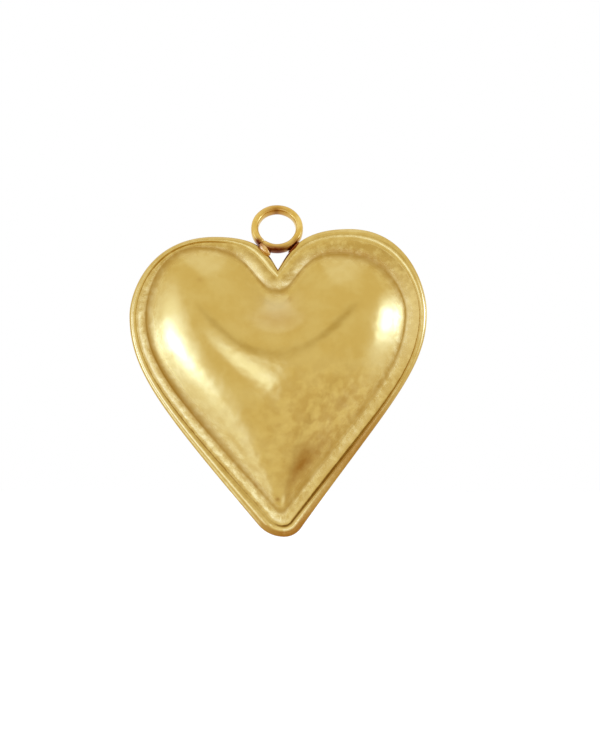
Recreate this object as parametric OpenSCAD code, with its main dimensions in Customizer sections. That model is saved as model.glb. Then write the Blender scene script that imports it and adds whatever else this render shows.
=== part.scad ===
// A puffed heart charm pressed from one brass sheet, with a soldered hanging ring.
// The front faces -Y, the ring is at the top, and the origin is the middle of the ring's hole.
// The heart is drawn flat first: x to the right, y up from the tip, and z out towards the viewer.

/* [Outer edge] */
// Middle line of the notch between the lobes
notch_x = -0.2; // [-0.6:0.05:0.6]
// Height of the bottom of the notch above the tip
notch_up = 25.55; // [24.8:0.05:26.3]
// Slope of the edge where it leaves the notch, in degrees from upright
notch_angle = 30.5; // [25:0.5:40]
// Middle line of the rounded tip
tip_x = 0.4; // [-0.2:0.05:0.8]
// Half width of the heart at the right lobe
right_w = 14.05; // [13.3:0.05:14.9]
// Highest point of the right lobe, distance to the side
right_top_x = 6.65; // [6:0.05:7.4]
// Highest point of the right lobe, above the tip
right_top = 29.45; // [28.8:0.05:30.2]
// Height at which the right lobe is widest
right_wide_up = 21.4; // [20.4:0.05:22.4]
// Slope of the right flank near the tip, in degrees from upright
right_flank = 35.5; // [32:0.5:38]
// Radius that rounds the tip on the right
right_tip_r = 1.95; // [1.4:0.05:2.6]
// Half width of the heart at the left lobe
left_w = 14.4; // [13.4:0.05:15.4]
// Highest point of the left lobe, distance to the side
left_top_x = 6.25; // [5.6:0.05:7]
// Highest point of the left lobe, above the tip
left_top = 28.7; // [28:0.05:29.4]
// Height at which the left lobe is widest
left_wide_up = 21.15; // [20.2:0.05:22.2]
// Slope of the left flank near the tip, in degrees from upright
left_flank = 40; // [36:0.5:43]
// Radius that rounds the tip on the left
left_tip_r = 3.25; // [2.4:0.05:4]

/* [Bead round the edge] */
// Width of the bead at the right side
bead_right = 0.75; // [0.55:0.05:1.1]
// Width of the bead on top of the right lobe
bead_right_top = 1.05; // [0.7:0.05:1.4]
// Width of the bead at the left side
bead_left = 0.65; // [0.45:0.05:0.9]
// Width of the bead on top of the left lobe
bead_left_top = 0.5; // [0.4:0.05:0.8]
// Width of the bead at the notch
bead_notch = 0.85; // [0.6:0.05:1.1]
// Width of the bead at the tip
bead_tip = 1.05; // [0.7:0.05:1.5]
// Height of the bead above the flange
bead_rise = 0.13; // [0.06:0.01:0.2]
// Depth of the groove between bead and flange
groove_depth = 0.08; // [0.04:0.01:0.14]
// Drop from the flange to the worn corner of the outer edge
edge_drop = 0.22; // [0.14:0.01:0.3]

/* [Flange between groove and dome] */
// Width of the flange at the right side
flange_right = 1.25; // [0.9:0.05:1.6]
// Width of the flange on top of the right lobe
flange_right_top = 1.3; // [0.9:0.05:1.7]
// Width of the flange at the left side
flange_left = 0.9; // [0.7:0.05:1.3]
// Width of the flange on top of the left lobe
flange_left_top = 0.5; // [0.4:0.05:0.9]
// Width of the flange at the notch
flange_notch = 1.1; // [0.8:0.05:1.4]
// Width of the flange at the tip
flange_tip = 1.3; // [0.9:0.05:1.7]
// Height of the flange's raised lip beside the groove
lip_rise = 0.07; // [0.03:0.01:0.14]
// Middle line of the groove and the dome at the tip
press_tip_x = 0.1; // [-0.3:0.05:0.4]
// Slope of the groove and the dome's foot near the tip on the right, in degrees from upright
press_right_flank = 37.5; // [35:0.5:40]
// Slope of the groove and the dome's foot near the tip on the left, in degrees from upright
press_left_flank = 41.5; // [38:0.5:43]
// Radius of the groove at the tip
groove_tip_r = 1.05; // [0.8:0.05:1.4]
// Radius of the foot of the dome at the tip
dome_tip_r = 0.55; // [0.45:0.05:0.8]
// Slope of the groove where it leaves the notch
groove_notch_angle = 53.5; // [46:0.5:60]
// How far the top of the dome's right lobe lies inside that of the edge
dome_right_shift = -1.3; // [-1.8:0.05:-0.6]
// How far the top of the dome's left lobe lies outside that of the edge
dome_left_shift = 1.5; // [0.8:0.05:1.9]

/* [Dome] */
// Thickness of the brass sheet
sheet_t = 0.5; // [0.4:0.05:0.6]
// Height of the dome above the flange
dome_h = 4.7; // [3.9:0.1:5.6]
// Height of the crown of the dome above the tip
crown_up = 16.6; // [15.8:0.1:17.4]
// How full the dome is: 1 is a tent drawn tight over its foot, 1.6 a cushion with steep sides
dome_fullness = 1.2; // [1:0.05:1.6]
// Radius of the small hollow in which the dome rises from the flange
dome_foot_r = 0.15; // [0.05:0.01:0.25]
// How much gentler the dome rises from the bottom of its notch than from its sides
notch_ease = 0.32; // [0:0.02:0.45]
// How far below the notch that gentler rise reaches
notch_ease_reach = 3; // [2:0.25:4]

/* [Hanging ring] */
// Outer diameter of the ring
ring_d = 5; // [4.6:0.1:5.4]
// Thickness of the ring's wire, from its hole outwards
ring_wire_t = 0.73; // [0.6:0.01:0.85]
// Width of the ring's wire along its axis
ring_wire_w = 1.15; // [0.95:0.05:1.3]
// Radius of the rounded corners of the ring's wire
ring_corner_r = 0.24; // [0.16:0.01:0.28]
// Lean of the ring, with its top away from the viewer, in degrees
ring_lean = 28; // [20:1:34]
// How far the flange stands in front of the middle of the ring
flange_ahead = 1.4; // [1.1:0.05:1.6]
// Gap between the ring and the lobes that it stands on, filled with solder
solder_gap = 0.06; // [0.06:0.01:0.12]

/* [Solder] */
// Radius of the drop of solder at the left lobe
solder_left_r = 0.55; // [0.45:0.05:0.55]
// Radius of the drop of solder at the right lobe
solder_right_r = 0.5; // [0.45:0.05:0.55]
// How far towards the notch each drop lies from the place where the ring stands on its lobe
solder_reach = 0.3; // [0.1:0.05:0.45]
// Clearance between the solder and the brass that it wets
wet_clearance = 0.02; // [0.01:0.005:0.025]

/* [Hidden] */
$fn = 64;

// Steps along each stretch of the outline: notch to top, top to side, flank and tip
inner_steps = 12;
outer_steps = 14;
flank_steps = 17;
tip_steps = 4;
// The steps down the flank get shorter towards the tip, where the dome has a narrow ridge
flank_crowding = 1.6;
// Fullness of the curves on both sides of a lobe's top, at its side, at the notch and on the flank
inner_top_pull = 0.7;
top_pull = 0.77;
side_pull = 0.3;
notch_pull = 0.28;
flank_top_pull = 0.23;
flank_tip_pull = 0.6;
// The foot of the dome crosses the middle line level, so its notch is a smooth bay
dome_notch_angle = 90;
// The groove's highest points lie this part of the way from those of the edge to those of the dome
groove_share = 0.3;

function bezier(a, b, c, d, t) =
    pow(1 - t, 3) * a + 3 * pow(1 - t, 2) * t * b + 3 * (1 - t) * t * t * c + pow(t, 3) * d;

// One half of a heart line from the notch to the tip, as [distance to the side, height]
function half_line(notch, notch_a, top, wide, flank, tip, r) =
    let (
        up_notch = [sin(notch_a), cos(notch_a)],
        up_flank = [sin(flank), cos(flank)],
        tip_centre = tip + [0, r],
        flank_end = tip_centre + r * [cos(flank), -sin(flank)],
        notch_reach = notch_pull * norm(top - notch),
        flank_reach = norm(wide - flank_end),
        before_top = top - [inner_top_pull * top[0], 0],
        after_top = top + [top_pull * (wide[0] - top[0]), 0],
        above_wide = wide + [0, side_pull * (top[1] - wide[1])],
        below_wide = wide - [0, flank_top_pull * flank_reach],
        above_end = flank_end + flank_tip_pull * flank_reach * up_flank
    )
    concat(
        [for (i = [0 : inner_steps - 1])
            bezier(notch, notch + notch_reach * up_notch, before_top, top, i / inner_steps)],
        [for (i = [0 : outer_steps - 1])
            bezier(top, after_top, above_wide, wide, i / outer_steps)],
        [for (i = [0 : flank_steps - 1])
            bezier(wide, below_wide, above_end, flank_end, 1 - pow(1 - i / flank_steps, flank_crowding))],
        [for (i = [0 : tip_steps])
            let (a = -flank - (90 - flank) * i / tip_steps) tip_centre + r * [cos(a), sin(a)]]
    );

// The whole line, down the right half from the notch and back up the left half
function whole_line(right, left) =
    concat(right, [for (i = [len(left) - 2 : -1 : 1]) [-left[i][0], left[i][1]]]);

function edge_line() = whole_line(
    half_line([notch_x, notch_up], notch_angle, [right_top_x, right_top],
        [right_w, right_wide_up], right_flank, [tip_x, 0], right_tip_r),
    half_line([-notch_x, notch_up], notch_angle, [left_top_x, left_top],
        [left_w, left_wide_up], left_flank, [-tip_x, 0], left_tip_r));

// The groove lies inside the edge by the width of the bead
groove_notch_up = notch_up - bead_notch;
groove_right = right_w - bead_right;
groove_left = left_w - bead_left;
groove_right_top = right_top - bead_right_top;
groove_left_top = left_top - bead_left_top;
function groove_line() = whole_line(
    half_line([notch_x, groove_notch_up], groove_notch_angle,
        [right_top_x + groove_share * dome_right_shift, groove_right_top],
        [groove_right, right_wide_up], press_right_flank, [press_tip_x, bead_tip], groove_tip_r),
    half_line([-notch_x, groove_notch_up], groove_notch_angle,
        [left_top_x + groove_share * dome_left_shift, groove_left_top],
        [groove_left, left_wide_up], press_left_flank, [-press_tip_x, bead_tip], groove_tip_r));

// The foot of the dome lies inside the groove by the width of the flange
foot_notch_up = groove_notch_up - flange_notch;
foot_tip_up = bead_tip + flange_tip;
function foot_line() = whole_line(
    half_line([notch_x, foot_notch_up], dome_notch_angle,
        [right_top_x + dome_right_shift, groove_right_top - flange_right_top],
        [groove_right - flange_right, right_wide_up],
        press_right_flank, [press_tip_x, foot_tip_up], dome_tip_r),
    half_line([-notch_x, foot_notch_up], dome_notch_angle,
        [left_top_x + dome_left_shift, groove_left_top - flange_left_top],
        [groove_left - flange_left, left_wide_up],
        press_left_flank, [-press_tip_x, foot_tip_up], dome_tip_r));

edge = edge_line();
stations = len(edge);
crown = [notch_x, crown_up];

function at(p, z) = [p[0], p[1], z];
function between(a, b, share) = a + (b - a) * share;

// Section of the rim: height at a share of the width from the groove out to the edge
bead_top_share = 0.46;
bead_curve = 2.3;
bead_shares = [1, 0.94, 0.82, 0.66, bead_top_share, 0.26, 0.1, 0];
function bead_z(u) = u < bead_top_share
    ? bead_rise - (bead_rise + groove_depth) * pow(1 - u / bead_top_share, bead_curve)
    : bead_rise - (bead_rise + edge_drop) * pow((u - bead_top_share) / (1 - bead_top_share), bead_curve);

// Section of the flange: height at a share of the width from the groove in to the foot of the dome
lip_share = 0.24;
lip_curve = 2;
flange_curve = 1.5;
flange_shares = [0.08, lip_share, 0.45, 0.72];
function flange_z(v) = v < lip_share
    ? lip_rise - (lip_rise + groove_depth) * pow(1 - v / lip_share, lip_curve)
    : lip_rise * pow((1 - v) / (1 - lip_share), flange_curve);

// Shares of the way from the foot of the dome to the crown at which it is given a ring of points
dome_shares = [0, 0.012, 0.028, 0.055, 0.1, 0.16, 0.235, 0.325, 0.43, 0.555, 0.7, 0.86];

// The dome stands as a skin drawn over the line of its foot. Its height at a point follows a mean
// of the distances to the foot taken all round, in which the near ones count most. That rounds the
// valley below the notch and the ridge above the tip. Each step of the foot adds its part of the mean
function foot_ways(foot) = [for (k = [0 : stations - 1])
    let (way = foot[(k + 1) % stations] - foot[k]) way / norm(way)];
function nearness(p, foot, ways) =
    [for (k = [0 : stations - 1])
        let (a = foot[k] - p, b = foot[(k + 1) % stations] - p, t = ways[k], h = cross(t, a))
            ((atan(b * t / h) - atan(a * t / h)) * PI / 180
                + h * (b * t / (b * b) - a * t / (a * a))) / (h * h)]
    * [for (k = [0 : stations - 1]) 1];
// Way in from the foot, which starts level in the small hollow and then rises evenly
function way_in(p, foot, ways) =
    sqrt(PI / nearness(p, foot, ways) + pow(dome_foot_r, 2)) - dome_foot_r;
function ease(p) = 1 - notch_ease * exp(-pow(norm(p - [notch_x, foot_notch_up]) / notch_ease_reach, 2));
function dome_ring(share, foot, ways, at_crown) = [for (p = foot)
    let (q = between(p, crown, share), gained = ease(q) * way_in(q, foot, ways) / at_crown)
        at(q, share == 0 ? 0 : dome_h * (1 - pow(max(0, 1 - gained), dome_fullness)))];

// Outward normal of the dome, from the points beside this one
function dome_normal(rings, i, k) =
    let (
        along = rings[i][(k + 1) % stations] - rings[i][(k + stations - 1) % stations],
        up = rings[min(i + 1, len(rings) - 1)][k] - rings[max(i - 1, 0)][k],
        n = cross(up, along)
    )
    n / norm(n);
function inside_of(rings, i) = [for (k = [0 : stations - 1])
    rings[i][k] - sheet_t * dome_normal(rings, i, k)];
// The foot seen from behind, where the inside of the dome meets the flat back of the flange
function foot_behind(rings) = [for (k = [0 : stations - 1])
    let (n = dome_normal(rings, 0, k), p = rings[0][k])
        [p[0] - sheet_t * n[0] / (1 + n[2]), p[1] - sheet_t * n[1] / (1 + n[2]), -sheet_t]];

// Rings of points go from the back corner of the edge over the front to the crown, and then down
// the inside of the dome to the back of the flange
corner_r = 0.08;
function rim_rings(groove, foot) = concat(
    [[for (p = edge) at(between(p, crown, corner_r / norm(crown - p)), -sheet_t)]],
    [[for (p = edge) at(p, corner_r - sheet_t)]],
    [for (u = bead_shares) [for (k = [0 : stations - 1]) at(between(groove[k], edge[k], u), bead_z(u))]],
    [for (v = flange_shares) [for (k = [0 : stations - 1]) at(between(groove[k], foot[k], v), flange_z(v))]]
);

// Two triangles for each step between one ring and the next
function band(first, second) = [
    for (k = [0 : stations - 1])
        let (m = (k + 1) % stations)
            each [[first + k, first + m, second + m], [first + k, second + m, second + k]]
];
function bands(start, count) = [for (i = [0 : count - 2])
    each band(start + i * stations, start + (i + 1) * stations)];
// A fan of triangles from one ring to the point in its middle
function fan(first, middle, turned) = [for (k = [0 : stations - 1])
    let (m = (k + 1) % stations) turned ? [first + m, first + k, middle] : [first + k, first + m, middle]];

// The ring stands on both lobes. For a middle line x, each point of the edge below the ring asks
// for a least height of its centre. The sheet meets the outside of the ring at the sheet's back
// face, or the rounded lower corner of the wire where that is in the way first
ring_r = ring_d / 2;
hole_r = ring_r - ring_wire_t;
ring_half_w = ring_wire_w / 2;
corner_saving = ring_corner_r * (cos(ring_lean) + sin(ring_lean) - 1);
seat_rounds = 16;
inner_right = [for (i = [0 : inner_steps]) edge[i]];
inner_left = [for (i = [0 : inner_steps]) edge[(stations - i) % stations]];
function under(p, x) = abs(p[0] - x) < ring_r;
function ring_depth(drop) = min(
    drop / cos(ring_lean) - (flange_ahead - sheet_t) * tan(ring_lean),
    drop * cos(ring_lean) + ring_half_w * sin(ring_lean) - corner_saving);
function height_over(p, x) = p[1] + ring_depth(sqrt(pow(ring_r, 2) - pow(p[0] - x, 2)));
function seat_height(line, x) = max([for (p = line) if (under(p, x)) height_over(p, x)]);
// Halves the interval until the ring bears equally on both lobes
function seat_x(low, high, rounds) =
    let (mid = (low + high) / 2)
    rounds < 1 ? mid
    : seat_height(inner_right, mid) > seat_height(inner_left, mid)
        ? seat_x(low, mid, rounds - 1) : seat_x(mid, high, rounds - 1);
ring_x = seat_x(notch_x - hole_r, notch_x + hole_r, seat_rounds);
ring_up = max(seat_height(inner_right, ring_x), seat_height(inner_left, ring_x)) + solder_gap;

// From the flat drawing to the charm's own frame
module upright() {
    translate([-ring_x, -flange_ahead, -ring_up]) rotate([90, 0, 0]) children();
}

module heart_stamping() {
    groove = groove_line();
    foot = foot_line();
    ways = foot_ways(foot);
    at_crown = ease(crown) * way_in(crown, foot, ways);
    dome = [for (share = dome_shares) dome_ring(share, foot, ways, at_crown)];
    front = concat(rim_rings(groove, foot), dome);
    back = concat([for (i = [len(dome) - 1 : -1 : 0]) inside_of(dome, i)], [foot_behind(dome)]);
    front_crown = len(front) * stations;
    back_start = front_crown + 1;
    back_crown = back_start + len(back) * stations;
    color([0.80, 0.66, 0.33]) upright() polyhedron(
        concat([for (ring = front) each ring], [at(crown, dome_h)],
            [for (ring = back) each ring], [at(crown, dome_h - sheet_t)]),
        concat(bands(0, len(front)), fan(front_crown - stations, front_crown, false),
            fan(back_start, back_crown, true), bands(back_start, len(back)),
            band(back_crown - stations, 0)));
}

// The wire is rolled nearly flat, with rounded corners, and can be drawn larger all round
module wire_section(grow) {
    flat_t = ring_wire_t - 2 * ring_corner_r;
    flat_w = ring_wire_w - 2 * ring_corner_r;
    translate([ring_r - ring_wire_t / 2, 0]) union() {
        square([ring_wire_t + 2 * grow, flat_w], center = true);
        square([flat_t, ring_wire_w + 2 * grow], center = true);
        for (sx = [-1, 1], sy = [-1, 1])
            translate([sx * flat_t / 2, sy * flat_w / 2]) circle(ring_corner_r + grow);
    }
}
module wire_ring(grow) {
    rotate([90 - ring_lean, 0, 0]) rotate_extrude() wire_section(grow);
}

module hanging_ring() {
    color([0.83, 0.66, 0.30]) wire_ring(0);
}

// A drop of solder run into the corner between the ring and the edge of a lobe, on the notch's side
// of the place where the ring stands. It is cut flat beside the lobe and hollowed by the ring. The
// wire is wider than the drop, so the drop stays one piece below it
module solder_drop(line, r) {
    heights = [for (p = line) under(p, ring_x) ? height_over(p, ring_x) : 0];
    seat = search(max(heights), heights)[0];
    here = line[seat];
    way = line[max(seat - 1, 0)] - line[min(seat + 1, len(line) - 1)];
    centre = here + solder_reach * way / norm(way);
    slope = atan(way[1] / way[0]);
    color([0.62, 0.40, 0.22]) difference() {
        upright() translate([centre[0], centre[1], -sheet_t / 2]) rotate([0, 0, slope])
            intersection() {
                sphere(r);
                translate([-r, wet_clearance, -r]) cube([2 * r, r, 2 * r]);
            }
        wire_ring(wet_clearance);
    }
}
module solder_left() {
    solder_drop(inner_left, solder_left_r);
}
module solder_right() {
    solder_drop(inner_right, solder_right_r);
}

heart_stamping();
hanging_ring();
solder_left();
solder_right();
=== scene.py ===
import math

import bpy
import numpy as np
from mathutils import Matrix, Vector, noise


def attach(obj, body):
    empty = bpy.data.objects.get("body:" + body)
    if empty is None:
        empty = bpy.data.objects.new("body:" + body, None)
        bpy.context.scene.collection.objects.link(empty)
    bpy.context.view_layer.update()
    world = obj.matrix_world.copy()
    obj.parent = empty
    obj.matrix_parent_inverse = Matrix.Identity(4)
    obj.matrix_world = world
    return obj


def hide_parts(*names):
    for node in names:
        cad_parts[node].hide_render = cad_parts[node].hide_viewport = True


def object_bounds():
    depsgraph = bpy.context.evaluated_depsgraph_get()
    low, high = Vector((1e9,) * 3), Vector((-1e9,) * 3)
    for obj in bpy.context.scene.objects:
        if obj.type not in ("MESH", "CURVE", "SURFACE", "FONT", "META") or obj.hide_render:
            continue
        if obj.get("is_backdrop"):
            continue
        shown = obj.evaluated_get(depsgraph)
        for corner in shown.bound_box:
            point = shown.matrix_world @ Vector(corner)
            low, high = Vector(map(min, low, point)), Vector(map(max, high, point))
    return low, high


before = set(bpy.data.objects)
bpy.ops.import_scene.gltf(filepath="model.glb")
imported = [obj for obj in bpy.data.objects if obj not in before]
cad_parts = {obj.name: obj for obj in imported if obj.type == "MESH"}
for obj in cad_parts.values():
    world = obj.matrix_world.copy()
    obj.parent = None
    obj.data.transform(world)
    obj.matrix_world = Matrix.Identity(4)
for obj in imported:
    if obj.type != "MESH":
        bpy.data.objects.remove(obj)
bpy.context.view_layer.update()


# The heart stamping. One disc of thin brass sheet, pressed between dies into a puffed dome with a
# flat flange, a narrow groove and a raised bead, then trimmed along the bead. Its back is open.
mm = 0.001
sheet, back_corner = 0.5, 0.08
crown, dome_height, dome_fullness = np.array([-0.2, 16.6]), 4.7, 1.2
foot_round, foot_blend = 0.15, 1.5
flange_rise, flange_ripple = 0.13, 0.014
bead_full, bead_crest, bead_bow = 0.13, 0.46, 2.3
groove_deep, edge_drop = 0.08, 0.22
narrow_crest, step_foot, step_edge = 0.3, 0.52, 0.8
# The middle of the ring's hole on the flat drawing, and how far ahead of it the flange lies
hole_x, hole_up, flange_ahead = -0.288, 29.4547, 1.4


def bezier(a, b, c, d, t):
    t = t[:, None]
    return (1 - t) ** 3 * a + 3 * (1 - t) ** 2 * t * b + 3 * (1 - t) * t**2 * c + t**3 * d


# The right half of a heart's line: from the notch over the lobe, down the flank and round the tip
def half_heart(notch, notch_angle, top, wide, flank, tip, radius):
    notch, top, wide, tip = (np.array(p, float) for p in (notch, top, wide, tip))
    lean, turn = math.radians(notch_angle), math.radians(flank)
    rise = 0.28 * np.linalg.norm(top - notch)
    tip_centre = tip + [0, radius]
    flank_end = tip_centre + radius * np.array([math.cos(turn), -math.sin(turn)])
    reach = np.linalg.norm(wide - flank_end)
    arc = -turn - (math.pi / 2 - turn) * np.arange(25) / 24
    return np.vstack([
        bezier(notch, notch + rise * np.array([math.sin(lean), math.cos(lean)]),
               top - [0.7 * top[0], 0], top, np.arange(60) / 60),
        bezier(top, top + [0.77 * (wide[0] - top[0]), 0],
               wide + [0, 0.3 * (top[1] - wide[1])], wide, np.arange(64) / 64),
        bezier(wide, wide - [0, 0.23 * reach],
               flank_end + 0.6 * reach * np.array([math.sin(turn), math.cos(turn)]), flank_end,
               1 - (1 - np.arange(110) / 110) ** 1.6),
        tip_centre + radius * np.stack([np.cos(arc), np.sin(arc)], 1),
    ])


# The left half is drawn as a right one, with its own sizes, and mirrored
def whole_heart(right, left):
    return np.vstack([right, left[-2:0:-1] * [-1, 1]])


edge = whole_heart(
    half_heart([-0.2, 25.55], 30.5, [6.65, 29.45], [14.05, 21.4], 35.5, [0.4, 0], 1.95),
    half_heart([0.2, 25.55], 30.5, [6.25, 28.7], [14.4, 21.15], 40, [-0.4, 0], 3.25))
groove = whole_heart(
    half_heart([-0.2, 24.7], 53.5, [6.26, 28.4], [13.3, 21.4], 37.5, [0.3, 1.05], 1.05),
    half_heart([0.2, 24.7], 53.5, [6.7, 28.2], [13.75, 21.15], 41.5, [-0.3, 1.05], 1.5))
foot = whole_heart(
    half_heart([-0.2, 23.6], 90, [5.35, 27.1], [12.05, 21.4], 37.5, [0.1, 2.35], 0.55),
    half_heart([0.2, 23.6], 90, [7.75, 27.7], [12.85, 21.15], 41.5, [-0.1, 2.35], 0.55))
stations = len(edge)


# How far a point lies in from the foot of the dome, as a mean over all directions, and less below
# the notch
def way_in(points):
    a = foot[None] - points[:, None]
    b = np.roll(foot, -1, 0)[None] - points[:, None]
    way = (b - a) / np.linalg.norm(b - a, axis=2, keepdims=True)
    off = way[..., 0] * a[..., 1] - way[..., 1] * a[..., 0]
    on_a, on_b = (a * way).sum(2), (b * way).sum(2)
    near = np.arctan(on_b / off) - np.arctan(on_a / off)
    near = (near + off * (on_b / (b * b).sum(2) - on_a / (a * a).sum(2))) / off**2
    eased = 1 - 0.32 * stripe(np.linalg.norm(points - foot[0], axis=1), 0, 3)
    return eased * (np.sqrt(math.pi / near.sum(1) + foot_round**2) - foot_round)


# Masks: a soft band, a soft spot on the flat drawing, a ramp from 0 to 1, and values evened out
# along the line of the heart
def stripe(values, middle, half):
    return np.exp(-(((values - middle) / half) ** 2))


def blob(points, middle, wide, tall, turn=0):
    c, s = math.cos(math.radians(turn)), math.sin(math.radians(turn))
    x, y = points[..., 0] - middle[0], points[..., 1] - middle[1]
    return np.exp(-(((x * c + y * s) / wide) ** 2 + ((y * c - x * s) / tall) ** 2))


def ramped(values, start, end):
    return np.clip((values - start) / (end - start), 0, 1)


def evened(values):
    return np.convolve(np.tile(values, 3), np.ones(25) / 25, "same")[stations:2 * stations]


# The die bit deepest along the lower right flank, less on the left and least over the lobes
side_share = np.where(edge[:, 0] > -0.6, 1, 0.32)
pressed = evened(0.14 + 0.95 * ramped(edge[:, 1], 19, 6) * side_share)
stepped = ramped(pressed, 0.45, 0.95)
flatter = 0.08 * blob(edge, (-0.2, 26), 6, 5) + 0.04 * blob(edge, (-14, 19), 8, 8)
bead_rise = evened(bead_full - flatter)


# The bead from the groove, at 0, to the trimmed edge, at 1. Where the die bit deepest the bead is
# narrower, and the trimmed edge keeps a lower step outside it
def bead_height(u):
    groove_drop = groove_deep * pressed
    if u < bead_crest:
        plain = bead_rise - (bead_rise + groove_drop) * ramped(u, bead_crest, 0) ** bead_bow
    else:
        plain = bead_rise - (bead_rise + edge_drop) * ramped(u, bead_crest, 1) ** bead_bow
    if u < narrow_crest:
        stair = bead_full - (bead_full + groove_drop) * ramped(u, narrow_crest, 0) ** 2
    else:
        tread = np.clip((step_edge - u) / (step_edge - step_foot), 0.62, 1)
        step = bead_full - 0.2 * ramped(u, narrow_crest, step_foot) ** 2 * tread
        stair = min(step, -edge_drop + 0.15 * ramped(u, 1, 0.76) ** 0.5)
    return plain + (stair - plain) * stepped


def flange_height(v):
    return flange_rise * (1 - (1 - v) ** 3) - groove_deep * pressed * ramped(v, 0.24, 0) ** 2


# The sheet as closed lines: up the trimmed edge, over the bead, the flange and the dome to the
# crown, and back behind them. Each has its zone, and its share of the way across that zone
rings, zone, share = [], [], []


def add_ring(kind, amount, points, height):
    rings.append(np.column_stack([points, np.broadcast_to(height, stations)]))
    zone.append(kind)
    share.append(amount)


inward = (crown - edge) / np.linalg.norm(crown - edge, axis=1, keepdims=True)
for turn in np.linspace(0, math.pi / 2, 5):
    add_ring("side", 0, edge + inward * back_corner * (1 - math.sin(turn)),
             -sheet + back_corner * (1 - math.cos(turn)))
for u in 1 - np.linspace(0, 1, 26) ** 1.15:
    add_ring("bead", u, groove + (edge - groove) * u, bead_height(u))
for v in np.linspace(0, 1, 20)[1:-1] ** 1.25:
    add_ring("flange", v, groove + (foot - groove) * v, flange_height(v))
highest = way_in(crown[None])[0]
for s in np.concatenate([[0], np.linspace(0.003, 0.1, 20), np.linspace(0.11, 0.97, 57)]):
    place = foot + (crown - foot) * s
    gained = np.zeros(stations) if s == 0 else way_in(place) / highest
    risen = 1 - np.clip(1 - gained, 0, 1) ** dome_fullness
    flange_on = flange_rise * ramped(np.linalg.norm(place - foot, axis=1), foot_blend, 0) ** 2
    add_ring("dome", s, place, flange_on + dome_height * risen)
add_ring("dome", 1, np.tile(crown, (stations, 1)), dome_height)

# The dome's inside lies one sheet thickness behind it, and runs out to the flat back of the flange
outside = np.array([row for row, kind in zip(rings, zone) if kind == "dome"])
normal = np.cross(np.gradient(outside, axis=0), np.roll(outside, -1, 1) - np.roll(outside, 1, 1))
normal[-1] = [0, 0, 1]
normal /= np.linalg.norm(normal, axis=2, keepdims=True)
for row in (outside - sheet * normal)[::-2]:
    add_ring("inside", 0, row[:, :2], row[:, 2])
hollow_rim = rings[-1]
for s in (0.25, 0.5, 0.75, 0.95, 1):
    row = hollow_rim + (rings[0] - hollow_rim) * s
    add_ring("back", 0, row[:, :2], -sheet)
surface = np.array(rings)
zone, share = np.array(zone), np.array(share)

# Shallow dents of wear, deepest on the lower right, and the uneven face of the flange
flat = surface[..., :2]
on_dome = zone == "dome"
inwards = np.linalg.norm(flat - foot, axis=2) * on_dome[:, None]
low_right = blob(flat, (6.3, 10.6), 5.2, 4.6, 20)
lower = ramped(flat[..., 1], 15, 7)
dent = (0.012 + 0.05 * low_right + 0.012 * lower) * ramped(inwards, 0, 1.2)
for i in np.flatnonzero(on_dome | (zone == "flange")):
    for k, (x, y) in enumerate(flat[i]):
        if on_dome[i]:
            wave = noise.noise(Vector((x * 0.55, y * 0.55, 1.7)))
            wave += 0.6 * noise.noise(Vector((x * 1.5, y * 1.5, 5.1)))
            surface[i, k, 2] -= dent[i, k] * (0.75 + wave)
        else:
            wave = noise.noise(Vector((x * 1.5, y * 1.5, 3.3)))
            surface[i, k, 2] -= flange_ripple * (0.75 + wave)

# How much each part of the outline takes of the painted highlights and painted shade that aren't
# the same all round
left_side = evened(blob(edge, (-13, 15), 9, 9))
top_side = evened(blob(edge, (8.5, 29), 5.5, 3.5) + 0.6 * blob(edge, (-7, 28.7), 5, 3))
low_flank = evened(blob(edge, (8, 8.5), 5.2, 6) * (edge[:, 0] > 0))
tip_side = evened(blob(edge, (1.2, 0.5), 3.4, 3.4))
# Painted highlights: pale spots on the flange beside the notch and at the right
flange_glints = 1.4 * blob(flat, (-2.5, 25.6), 1.5, 0.55, -52) + 0.9 * blob(flat, (0, 24.25), 1, 0.3)
flange_glints += 0.7 * blob(flat, (2.2, 25.7), 1.1, 0.7, 50) + 0.6 * blob(flat, (12.5, 21), 2, 4.6)
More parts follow.
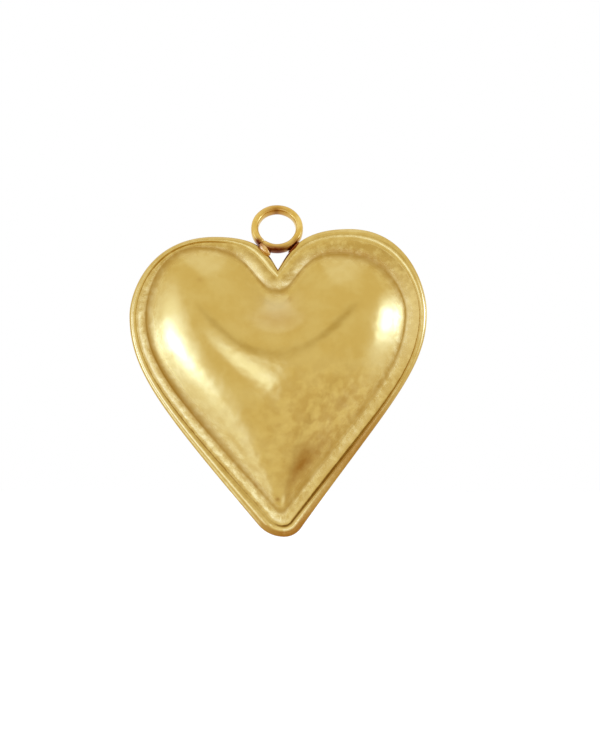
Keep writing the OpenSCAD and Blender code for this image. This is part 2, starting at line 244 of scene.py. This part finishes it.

# The marks that the sheet's material reads: painted shade in the groove and at the dome's foot,
# painted highlights, painted brown shade and dark reflections, the duller hollow, and grainy and
# blotched wear
marks = {name: np.zeros(surface.shape[:2])
         for name in ("groove", "foot", "painted_highlight", "painted_brown_shade", "painted_dark_reflection", "hollow", "worn", "blotched")}
groove_shading = ramped(pressed, 0.2, 1.2)
for i, kind in enumerate(zone):
    at, spot = share[i], flat[i]
    if kind == "bead":
        # Painted shade in the groove, darker where the die bit deeper
        marks["groove"][i] = ramped(at, 0.24, 0) * groove_shading
        # Painted highlights: a cream line along the bead at the tip and at the left, and a pale
        # outer edge at the right
        marks["painted_highlight"][i] = 1.3 * stripe(at, 0.3, 0.1) * tip_side
        marks["painted_highlight"][i] += 0.7 * stripe(at, 0.5, 0.2) * left_side
        marks["painted_highlight"][i] += ramped(at, 0.4, 0.6) * blob(spot, (14, 21.4), 1.5, 1.9)
        # Painted brown shade on the bead's outer fall along the lower right, and outside the step
        # at the tip
        marks["painted_brown_shade"][i] = 0.9 * ramped(at, 0, 0.3) * low_flank * (1 - tip_side)
        marks["painted_brown_shade"][i] += 1.2 * ramped(at, 0.44, 0.56) * tip_side
        marks["worn"][i] = 0.45
    elif kind == "flange":
        # Painted shade at the groove's side of the flange
        marks["groove"][i] = ramped(at, 0.1, 0) * groove_shading
        # Painted shade on the flange where it runs into the dome's foot
        marks["foot"][i] = ramped(at, 0.74, 1) ** 1.5
        # Painted highlights on the flange's outer lip at the left, the tip and the lower right,
        # and its pale spots
        marks["painted_highlight"][i] = 0.45 * stripe(at, 0.26, 0.16) * np.maximum(left_side, 1.3 * tip_side)
        marks["painted_highlight"][i] += 0.4 * stripe(at, 0.4, 0.25) * low_flank + flange_glints[i]
        # Painted brown shade on the flange next to the dome's foot, at the left and over the lobes
        marks["painted_brown_shade"][i] = ramped(at, 0.5, 0.75) * np.maximum(0.2 * left_side, 0.4 * top_side)
        marks["worn"][i] = 1
    elif kind == "dome":
        # Painted shade along the dome's foot, stronger at the left and weaker on the lower right
        # flank
        marks["foot"][i] = stripe(inwards[i], 0, 0.45 + 0.3 * left_side)
        marks["foot"][i] *= 1 - 0.6 * low_flank + 0.8 * left_side
        # Painted reflections: pale arcs under the notch, and a highlight on the nose above the tip
        arc = stripe(np.linalg.norm(spot - foot[0] - [0, 2.2], axis=1), 3.75, 0.75)
        arc *= stripe(spot[:, 0], -0.2, 2) * (spot[:, 1] < foot[0, 1])
        marks["painted_highlight"][i] = 0.9 * blob(spot, (0.3, 3.55), 0.16, 0.45, -10) + 0.32 * arc
        # Painted brown shade on the dome under the notch
        marks["painted_brown_shade"][i] = 0.34 * blob(spot, (-0.25, 20.9), 2.4, 1.2)
        marks["worn"][i] = 0.8 * stripe(inwards[i], 0, 0.9) + 0.3 * low_right[i] + 0.15 * lower[i]
        marks["worn"][i] += 0.06
        marks["blotched"][i] = 1.1 * low_right[i] + 0.35 * lower[i]
        marks["blotched"][i] += 0.35 * blob(spot, (2.4, 13.2), 4.6, 3.6)
    elif kind in ("inside", "back"):
        marks["hollow"][i] = 1
        marks["blotched"][i] = 0.8
for name in ("painted_highlight", "painted_brown_shade", "worn", "blotched"):
    marks[name] = np.clip(marks[name], 0, 1)
# Painted dark reflections and shade: brown spots down the lower right of the dome, near the tip
# and on the left lobe
for strength, middle, wide, tall, turn in (
        (0.85, (2.25, 7.25), 1.05, 1.9, -32), (0.5, (1.2, 5.1), 0.5, 1.5, -25),
        (0.6, (-2.35, 4.95), 0.22, 0.3, 0), (0.75, (-0.25, 3.6), 0.25, 0.2, 0),
        (0.35, (-7.65, 24.55), 0.3, 0.25, 0), (0.3, (4.4, 9.4), 0.5, 1.6, -35),
        (0.25, (6.1, 13.1), 0.4, 1.3, -35)):
    marks["painted_dark_reflection"][on_dome] += strength * blob(flat[on_dome], middle, wide, tall, turn)


# Each closed line is laid down with its first station again at its end, and merged there later
def joined(values):
    return np.concatenate([values, values[:, :1]], 1)


def paint(piece, name, values):
    layer = piece.data.attributes.new(name, "FLOAT", "POINT")
    layer.data.foreach_set("value", values.reshape(-1))


# From the flat drawing to the charm's own frame, whose origin is the middle of the ring's hole
x, y, height = (joined(surface[..., axis]) for axis in range(3))
placed = np.stack([x - hole_x, -flange_ahead - height, y - hole_up], 2) * mm
bpy.ops.object.select_all(action="DESELECT")
bpy.ops.mesh.primitive_grid_add(x_subdivisions=stations, y_subdivisions=len(surface) - 1, size=1)
heart = bpy.context.object
heart.name = "pressed_heart"
heart.data.vertices.foreach_set("co", placed.reshape(-1))
for name, values in marks.items():
    paint(heart, name, joined(values))
bpy.ops.object.mode_set(mode="EDIT")
bpy.ops.mesh.select_all(action="SELECT")
bpy.ops.mesh.remove_doubles(threshold=2e-7)
bpy.ops.mesh.delete_loose(use_verts=True, use_edges=True, use_faces=False)
bpy.ops.mesh.select_all(action="SELECT")
bpy.ops.mesh.normals_make_consistent(inside=False)
bpy.ops.object.mode_set(mode="OBJECT")
bpy.ops.object.shade_smooth_by_angle(angle=math.radians(50))
for modifier in list(heart.modifiers):
    bpy.ops.object.modifier_apply(modifier=modifier.name)


# Nodes for the materials. What is given to them is either a socket to link or a value to set
def feed(tree, socket, value):
    if isinstance(value, bpy.types.NodeSocket):
        tree.links.new(value, socket)
    else:
        socket.default_value = value


def worked(tree, operation, *values):
    node = tree.nodes.new("ShaderNodeMath")
    node.operation = operation
    for socket, value in zip(node.inputs, values):
        feed(tree, socket, value)
    return node.outputs[0]


def blended(tree, factor, low, high):
    mix = tree.nodes.new("ShaderNodeMix")
    mix.data_type = "RGBA"
    for socket, value in zip((mix.inputs["Factor"], mix.inputs[6], mix.inputs[7]),
                             (factor, low, high)):
        feed(tree, socket, value)
    return mix.outputs[2]


def softened(tree, value, low, high):
    node = tree.nodes.new("ShaderNodeMapRange")
    node.interpolation_type = "SMOOTHSTEP"
    for name, given in (("Value", value), ("From Min", low), ("From Max", high)):
        feed(tree, node.inputs[name], given)
    return node.outputs["Result"]


def clouds(tree, scale, detail, roughness, low, high):
    node = tree.nodes.new("ShaderNodeTexNoise")
    place = tree.nodes.new("ShaderNodeTexCoord").outputs["Object"]
    for name, given in (("Vector", place), ("Scale", scale), ("Detail", detail),
                        ("Roughness", roughness)):
        feed(tree, node.inputs[name], given)
    return softened(tree, node.outputs["Fac"], low, high)


def bumped(tree, shader, layers):
    last = None
    for height, depth in layers:
        bump = tree.nodes.new("ShaderNodeBump")
        bump.inputs["Strength"].default_value = 1
        bump.inputs["Distance"].default_value = depth
        tree.links.new(height, bump.inputs["Height"])
        if last:
            tree.links.new(last, bump.inputs["Normal"])
        last = bump.outputs["Normal"]
    tree.links.new(last, shader.inputs["Normal"])


# A painted mark at a given strength, either even or broken up by a texture
def painted(tree, name, strength=1.0):
    node = tree.nodes.new("ShaderNodeAttribute")
    node.attribute_name = name
    return worked(tree, "MULTIPLY", node.outputs["Fac"], strength)


def patchy(tree, name, texture, amount, least):
    return painted(tree, name, worked(tree, "MULTIPLY_ADD", texture, amount, least))


def srgb(*colour):
    return [((c / 255 + 0.055) / 1.055) ** 2.4 for c in colour] + [1]


# Tumbled brass, shared by the sheet, the wire and the solder: cloudy tarnish, fine grain left by
# the tumbling barrel, and the slow waviness of thin metal that has been pressed or bent
tumbled = bpy.data.node_groups.new("tumbled_brass", "ShaderNodeTree")
for name in ("Cloud Scale", "Grain Scale", "Wave Scale"):
    tumbled.interface.new_socket(name, in_out="INPUT", socket_type="NodeSocketFloat")
for name in ("Cloud", "Speckle", "Grain", "Wave"):
    tumbled.interface.new_socket(name, in_out="OUTPUT", socket_type="NodeSocketFloat")
inputs = tumbled.nodes.new("NodeGroupInput").outputs
outputs = tumbled.nodes.new("NodeGroupOutput").inputs
for name, scale, detail, low, high in (
        ("Cloud", "Cloud Scale", 4, 0.36, 0.66), ("Speckle", "Grain Scale", 2, 0.42, 0.66),
        ("Grain", "Grain Scale", 3, 0.2, 0.8), ("Wave", "Wave Scale", 1, 0, 1)):
    tumbled.links.new(clouds(tumbled, inputs[scale], detail, 0.55, low, high), outputs[name])


def brass(name, cloud, grain, wave):
    made = bpy.data.materials.new(name)
    made.use_nodes = True
    shader = made.node_tree.nodes["Principled BSDF"]
    shader.inputs["Metallic"].default_value = 1
    effect = made.node_tree.nodes.new("ShaderNodeGroup")
    effect.node_tree = tumbled
    effect.inputs["Cloud Scale"].default_value = cloud
    effect.inputs["Grain Scale"].default_value = grain
    effect.inputs["Wave Scale"].default_value = wave
    return made, made.node_tree, shader, effect.outputs


# The sheet: clean brass, grainy where it is worn, blotched low down, and on top of that painted
# shade, painted highlights and painted dark reflections
sheet_brass, tree, shader, grain = brass("sheet_brass", 420, 1500, 330)
colour = blended(tree, grain["Cloud"], srgb(205, 172, 88), srgb(211, 181, 100))
mottled = blended(tree, grain["Speckle"], srgb(196, 160, 80), srgb(222, 194, 116))
colour = blended(tree, painted(tree, "worn", 0.6), colour, mottled)
blotches = clouds(tree, 900, 2, 0.5, 0.36, 0.66)
dulled = blended(tree, blotches, srgb(186, 146, 70), srgb(222, 191, 108))
colour = blended(tree, painted(tree, "blotched", 0.5), colour, dulled)
# Painted on top: shade at the dome's foot, brown shade, highlights, shade in the groove, dark
# reflections, then the duller hollow of the back
for mask, tone in (
        (painted(tree, "foot", 0.5), (160, 114, 30)),
        (painted(tree, "painted_brown_shade", 0.85), (158, 100, 26)),
        (painted(tree, "painted_highlight", 0.85), (244, 222, 152)),
        (painted(tree, "groove", 0.55), (110, 74, 26)),
        (patchy(tree, "painted_dark_reflection", grain["Cloud"], 0.5, 0.55), (150, 97, 24)),
        (painted(tree, "hollow", 0.6), (178, 144, 74))):
    colour = blended(tree, mask, colour, srgb(*tone))
tree.links.new(colour, shader.inputs["Base Color"])
rough = worked(tree, "ADD", painted(tree, "worn", 0.08), 0.17)
for dull in (painted(tree, "hollow", 0.16), painted(tree, "foot", 0.2),
             worked(tree, "MULTIPLY", grain["Cloud"], 0.03)):
    rough = worked(tree, "ADD", rough, dull)
tree.links.new(rough, shader.inputs["Roughness"])
grit = worked(tree, "MULTIPLY", grain["Grain"], worked(tree, "ADD", painted(tree, "worn"), 0.06))
bumped(tree, shader, ((grain["Wave"], 0.012 * mm), (grit, 0.014 * mm)))
heart.data.materials.append(sheet_brass)
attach(heart, "root")
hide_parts("heart_stamping")


# The hanging ring. Brass wire rolled nearly flat, bent round to a closed ring whose ends meet at
# the lower left, and soldered to both lobes. It leans back, with its top away from the viewer.
ring_radius, wire_thick, wire_wide, wire_square = 2.5, 0.73, 1.15, 0.72
lean, seam_at, seam_half = math.radians(28), math.radians(229), math.radians(2)
ring_side = np.array([1, 0, 0])
ring_up = np.array([0, math.sin(lean), math.cos(lean)])
ring_axis = np.array([0, -math.cos(lean), math.sin(lean)])
bpy.ops.object.select_all(action="DESELECT")
bpy.ops.mesh.primitive_torus_add(
    major_segments=240, minor_segments=64, major_radius=1, minor_radius=0.2)
ring = bpy.context.object
ring.name = "wire_ring"


def corners(piece):
    places = np.empty(len(piece.data.vertices) * 3)
    piece.data.vertices.foreach_get("co", places)
    return places.reshape(-1, 3)


torus = corners(ring)
angle = np.arctan2(torus[:, 1], torus[:, 0])
around = np.arctan2(torus[:, 2], np.hypot(torus[:, 0], torus[:, 1]) - 1)
faces_out, faces_front = np.cos(around), np.sin(around)
thick_out = np.sign(faces_out) * np.abs(faces_out) ** wire_square
wide_out = np.sign(faces_front) * np.abs(faces_front) ** wire_square
seam = stripe((angle - seam_at + math.pi) % (2 * math.pi) - math.pi, 0, seam_half)
uneven = 0.98 + 0.02 * np.sin(angle * 3 + 0.6) * np.sin(angle * 5)
radial = ring_radius - wire_thick / 2 + thick_out * wire_thick / 2 * uneven * (1 - 0.3 * seam)
axial = wide_out * wire_wide / 2 * uneven * (1 - 0.25 * seam)
points = radial[:, None] * (np.cos(angle)[:, None] * ring_side + np.sin(angle)[:, None] * ring_up)
points = (points + axial[:, None] * ring_axis) * mm
ring.data.vertices.foreach_set("co", points.reshape(-1))

# Painted shade, by its place round the ring in degrees, and outside or inside it: under the
# bottom, inside the top, and where the ring meets the lobes
bearing = np.degrees(angle)
low_arc, top_arc, top_spot = (stripe(bearing, *at) for at in ((-93, 34), (94, 34), (92, 8)))
at_left, at_right = stripe(bearing, -138, 9), stripe(bearing, -40, 11)
outer, inner = ramped(faces_out, -0.35, 0.55), ramped(-faces_out, -0.15, 0.65)
soft_shade = low_arc * (0.3 + 0.7 * outer) + top_arc * (0.5 + 0.5 * inner)
soft_shade += (0.8 * at_left + 0.6 * at_right) * outer
deep_shade = 1.1 * low_arc * ramped(faces_out, -0.1, 0.7) + 0.5 * top_spot * inner
deep_shade += (at_left + 0.3 * at_right) * outer
paint(ring, "soft_shade", np.clip(soft_shade, 0, 1))
paint(ring, "deep_shade", np.clip(deep_shade, 0, 1))
bpy.ops.object.mode_set(mode="EDIT")
bpy.ops.mesh.select_all(action="SELECT")
bpy.ops.mesh.normals_make_consistent(inside=False)
bpy.ops.object.mode_set(mode="OBJECT")
bpy.ops.object.shade_smooth()

wire_brass, tree, shader, grain = brass("wire_brass", 800, 3200, 600)
colour = blended(tree, grain["Cloud"], srgb(214, 174, 80), srgb(234, 202, 116))
# Painted shade on the ring's faces that look down
soft_shade_amount = patchy(tree, "soft_shade", grain["Cloud"], 0.25, 0.75)
colour = blended(tree, soft_shade_amount, colour, srgb(168, 104, 34))
# Deeper painted shade under the bottom of the ring and where it meets the lobes
deep_shade_amount = patchy(tree, "deep_shade", grain["Speckle"], 0.15, 0.85)
colour = blended(tree, deep_shade_amount, colour, srgb(98, 34, 10))
tree.links.new(colour, shader.inputs["Base Color"])
rough = worked(tree, "MULTIPLY_ADD", grain["Cloud"], 0.08, 0.2)
tree.links.new(rough, shader.inputs["Roughness"])
bumped(tree, shader, ((grain["Wave"], 0.02 * mm), (grain["Grain"], 0.006 * mm)))
ring.data.materials.append(wire_brass)
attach(ring, "root")
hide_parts("hanging_ring")


# The solder. A drop of hard solder run into the corner between the ring and each lobe, left as it
# set: a lump at the left, where it also closes the ring, and a smaller one at the right, painted
# dark all over as shade between the ring and the lobe.
set_solder, tree, shader, grain = brass("set_solder", 1300, 4200, 900)
colour = blended(tree, grain["Cloud"], srgb(208, 160, 88), srgb(234, 196, 126))
# Painted shade on the drops where they sit between the ring and the lobes
colour = blended(tree, painted(tree, "deep_shade", 0.9), colour, srgb(140, 62, 22))
tree.links.new(colour, shader.inputs["Base Color"])
rough = worked(tree, "MULTIPLY_ADD", grain["Cloud"], 0.12, 0.24)
tree.links.new(rough, shader.inputs["Roughness"])
bumped(tree, shader, ((grain["Wave"], 0.03 * mm), (grain["Grain"], 0.01 * mm)))
for name, node, middle, slope, size, in_deep_shade in (
        ("left_drop", "solder_left", (-1.14, -1.24, -1.98), -48, (0.72, 0.5, 0.36), 0),
        ("right_drop", "solder_right", (1.6, -0.98, -1.76), 44, (0.74, 0.42, 0.12), 1)):
    bpy.ops.object.select_all(action="DESELECT")
    bpy.ops.mesh.primitive_uv_sphere_add(segments=64, ring_count=32, radius=1)
    drop = bpy.context.object
    drop.name = name
    ball = corners(drop)
    lumps = np.array([1 + 0.16 * noise.noise(Vector(p * 1.3 + slope)) for p in ball])
    ball = ball * lumps[:, None] * size
    c, s = math.cos(math.radians(slope)), math.sin(math.radians(slope))
    along, across, up = ball.T
    placed = np.column_stack([along * c - up * s, across, along * s + up * c]) + middle
    drop.data.vertices.foreach_set("co", (placed * mm).reshape(-1))
    # The left drop takes painted shade only at its outer end
    outer_end = np.clip(-1.6 * along / size[0] - 0.3, 0, 1) * (slope < 0)
    paint(drop, "deep_shade", np.clip(in_deep_shade + 0.7 * outer_end, 0, 1))
    bpy.ops.object.shade_smooth()
    drop.data.materials.append(set_solder)
    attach(drop, "root")
    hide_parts(node)


# The stage: a pale floor well below the hanging charm, which the camera sees as plain white. The
# metal mirrors the tent and not the floor, as the real charm did.
bpy.ops.object.select_all(action="DESELECT")
bpy.ops.mesh.primitive_plane_add(size=8, location=(0, 0, -0.1))
floor = bpy.context.object
floor.name = "floor"
paper = bpy.data.materials.new("paper")
paper.use_nodes = True
tree = paper.node_tree
shader = tree.nodes["Principled BSDF"]
shader.inputs["Base Color"].default_value = (0.96, 0.96, 0.955, 1)
shader.inputs["Roughness"].default_value = 0.9
shader.inputs["Emission Color"].default_value = (1, 1, 1, 1)
seen = tree.nodes.new("ShaderNodeLightPath").outputs["Is Camera Ray"]
tree.links.new(worked(tree, "MULTIPLY", seen, 0.1), shader.inputs["Emission Strength"])
floor.data.materials.append(paper)
floor.visible_glossy = False
floor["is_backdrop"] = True


# The white tent round the charm, with a softbox on each side, the pale gap that it was
# photographed through, and the darker arms of the stand beside that gap. It is the world's light.
softbox = bpy.data.node_groups.new("softbox", "ShaderNodeTree")
for name in ("Azimuth", "Elevation", "Middle Azimuth", "Middle Elevation",
             "Half Width", "Half Height", "Turn", "Core"):
    softbox.interface.new_socket(name, in_out="INPUT", socket_type="NodeSocketFloat")
softbox.interface.new_socket("Mask", in_out="OUTPUT", socket_type="NodeSocketFloat")
inputs = softbox.nodes.new("NodeGroupInput").outputs
outputs = softbox.nodes.new("NodeGroupOutput").inputs
aside = worked(softbox, "SUBTRACT", inputs["Azimuth"], inputs["Middle Azimuth"])
above = worked(softbox, "SUBTRACT", inputs["Elevation"], inputs["Middle Elevation"])
cosine = worked(softbox, "COSINE", inputs["Turn"])
sine = worked(softbox, "SINE", inputs["Turn"])
sideways = worked(softbox, "ADD", worked(softbox, "MULTIPLY", aside, cosine),
                  worked(softbox, "MULTIPLY", above, sine))
upwards = worked(softbox, "SUBTRACT", worked(softbox, "MULTIPLY", above, cosine),
                 worked(softbox, "MULTIPLY", aside, sine))
squares = []
for length, half in ((sideways, inputs["Half Width"]), (upwards, inputs["Half Height"])):
    length = worked(softbox, "ABSOLUTE", worked(softbox, "DIVIDE", length, half))
    squares.append(worked(softbox, "POWER", length, 2))
off_middle = worked(softbox, "SQRT", worked(softbox, "ADD", *squares))
softbox.links.new(softened(softbox, off_middle, 1, inputs["Core"]), outputs["Mask"])

world = bpy.data.worlds.new("tent")
bpy.context.scene.world = world
world.use_nodes = True
tree = world.node_tree
way = tree.nodes.new("ShaderNodeSeparateXYZ")
tree.links.new(tree.nodes.new("ShaderNodeTexCoord").outputs["Generated"], way.inputs["Vector"])
forwards = worked(tree, "MULTIPLY", way.outputs["Y"], -1)
azimuth = worked(tree, "ARCTAN2", way.outputs["X"], forwards)
elevation = worked(tree, "ARCSINE", way.outputs["Z"])


# An oval in the tent, in degrees: full inside its core and fading out towards its edge
def patch(middle_azimuth, middle_elevation, half_width, half_height, turn, core):
    node = tree.nodes.new("ShaderNodeGroup")
    node.node_tree = softbox
    tree.links.new(azimuth, node.inputs["Azimuth"])
    tree.links.new(elevation, node.inputs["Elevation"])
    for name, value in (("Middle Azimuth", middle_azimuth), ("Middle Elevation", middle_elevation),
                        ("Half Width", half_width), ("Half Height", half_height), ("Turn", turn)):
        node.inputs[name].default_value = math.radians(value)
    node.inputs["Core"].default_value = core
    return node.outputs["Mask"]


# Brass mirrors a lamp as cream and a dark thing as brown, whatever the lamp's own white
def tinted(gain):
    weights = (0.65, 1.1, 3.1) if gain > 1 else (0.85, 1.05, 1.5)
    return [1 + (gain - 1) * weight for weight in weights] + [1]


white = (1, 1, 1, 1)
light = white
for area, gain in (
        # The bright top of the tent, the stand's two arms and a dark place low at the right
        (patch(0, 110, 400, 49, 0, 0.87), 1.18),
        (patch(-14, 15, 30, 9, -24, 0.1), 0.66),
        (patch(20, 22, 30, 11, 24, 0.1), 0.64),
        (patch(60, -38, 8, 14, 0, 0), 0.68),
        # The left softbox: two glows, low down and all round, and the lamp in its middle
        (patch(-75, -23, 13, 35, -25, 0.5), 1.6),
        (patch(-70, -4, 23, 46, 0, 0.15), 1.86),
        (patch(-75.5, -18, 11, 24, 0, 0), 5.5),
        # The right softbox, with the same three
        (patch(80, -5, 14, 40, 18, 0.1), 1.68),
        (patch(78, 5, 15, 32, 6, 0.2), 1.87),
        (patch(76, 1, 9, 22, 14, 0), 6)):
    light = blended(tree, area, light, tinted(gain))
# The gap in front ends sharply at the right, where the stand cuts it off
left_of_stand = worked(tree, "LESS_THAN", azimuth, math.radians(-0.5))
gap = worked(tree, "MULTIPLY", patch(-13, -8, 30, 14, -10, 0.3), left_of_stand)
light = blended(tree, gap, light, tinted(2))
seen = tree.nodes.new("ShaderNodeLightPath").outputs["Is Camera Ray"]
light = blended(tree, seen, light, white)
tree.links.new(light, tree.nodes["Background"].inputs["Color"])

# The camera looks at the charm straight on through a long lens
camera_data = bpy.data.cameras.new("camera")
camera_data.lens = 300.5
camera_data.clip_end = 20
camera = bpy.data.objects.new("camera", camera_data)
camera.location = (0.0022, -0.6, -0.01397)
camera.rotation_euler = (math.pi / 2, 0, 0)
bpy.context.collection.objects.link(camera)
bpy.context.scene.camera = camera
bpy.context.scene.view_settings.view_transform = "Standard"

low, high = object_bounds()
